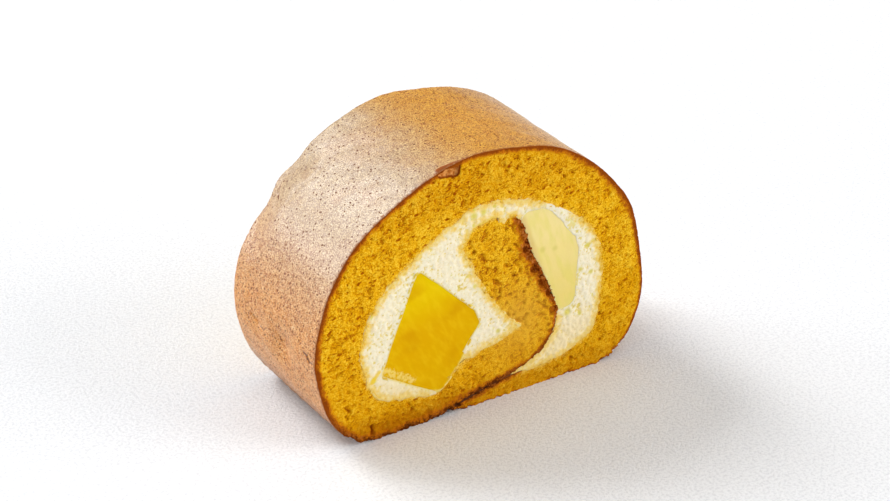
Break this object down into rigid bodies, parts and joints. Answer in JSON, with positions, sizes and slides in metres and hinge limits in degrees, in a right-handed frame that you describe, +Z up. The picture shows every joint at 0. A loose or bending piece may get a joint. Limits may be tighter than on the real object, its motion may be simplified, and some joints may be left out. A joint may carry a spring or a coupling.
{
  "type": "swiss roll slice",
  "caption": "Upright slice of rolled sponge cake, its spiral sheet wrapped round whipped cream with a mango chunk and a pale fruit wedge.",
  "frame": {"origin": "on the board, under the middle of the slice's bounding box", "axes": "+X to the right across the front cut, +Y along the roll from the front cut to the back cut, +Z up"},
  "size_m": [0.086, 0.036, 0.0627],
  "materials": {
    "sponge": "open golden crumb with fine pores; the outer skin is a thin brown crust, tan and dull",
    "cream": "warm white whipped cream, wiped by the knife, with small yellow flecks",
    "mango": "smooth moist yellow fruit flesh",
    "pale_wedge": "smooth moist pale yellow flesh"
  },
  "bodies": {
    "root": {"sponge": "sponge", "cream": "cream", "mango": "mango", "pale_wedge": "pale_wedge"}
  },
  "joints": []
}
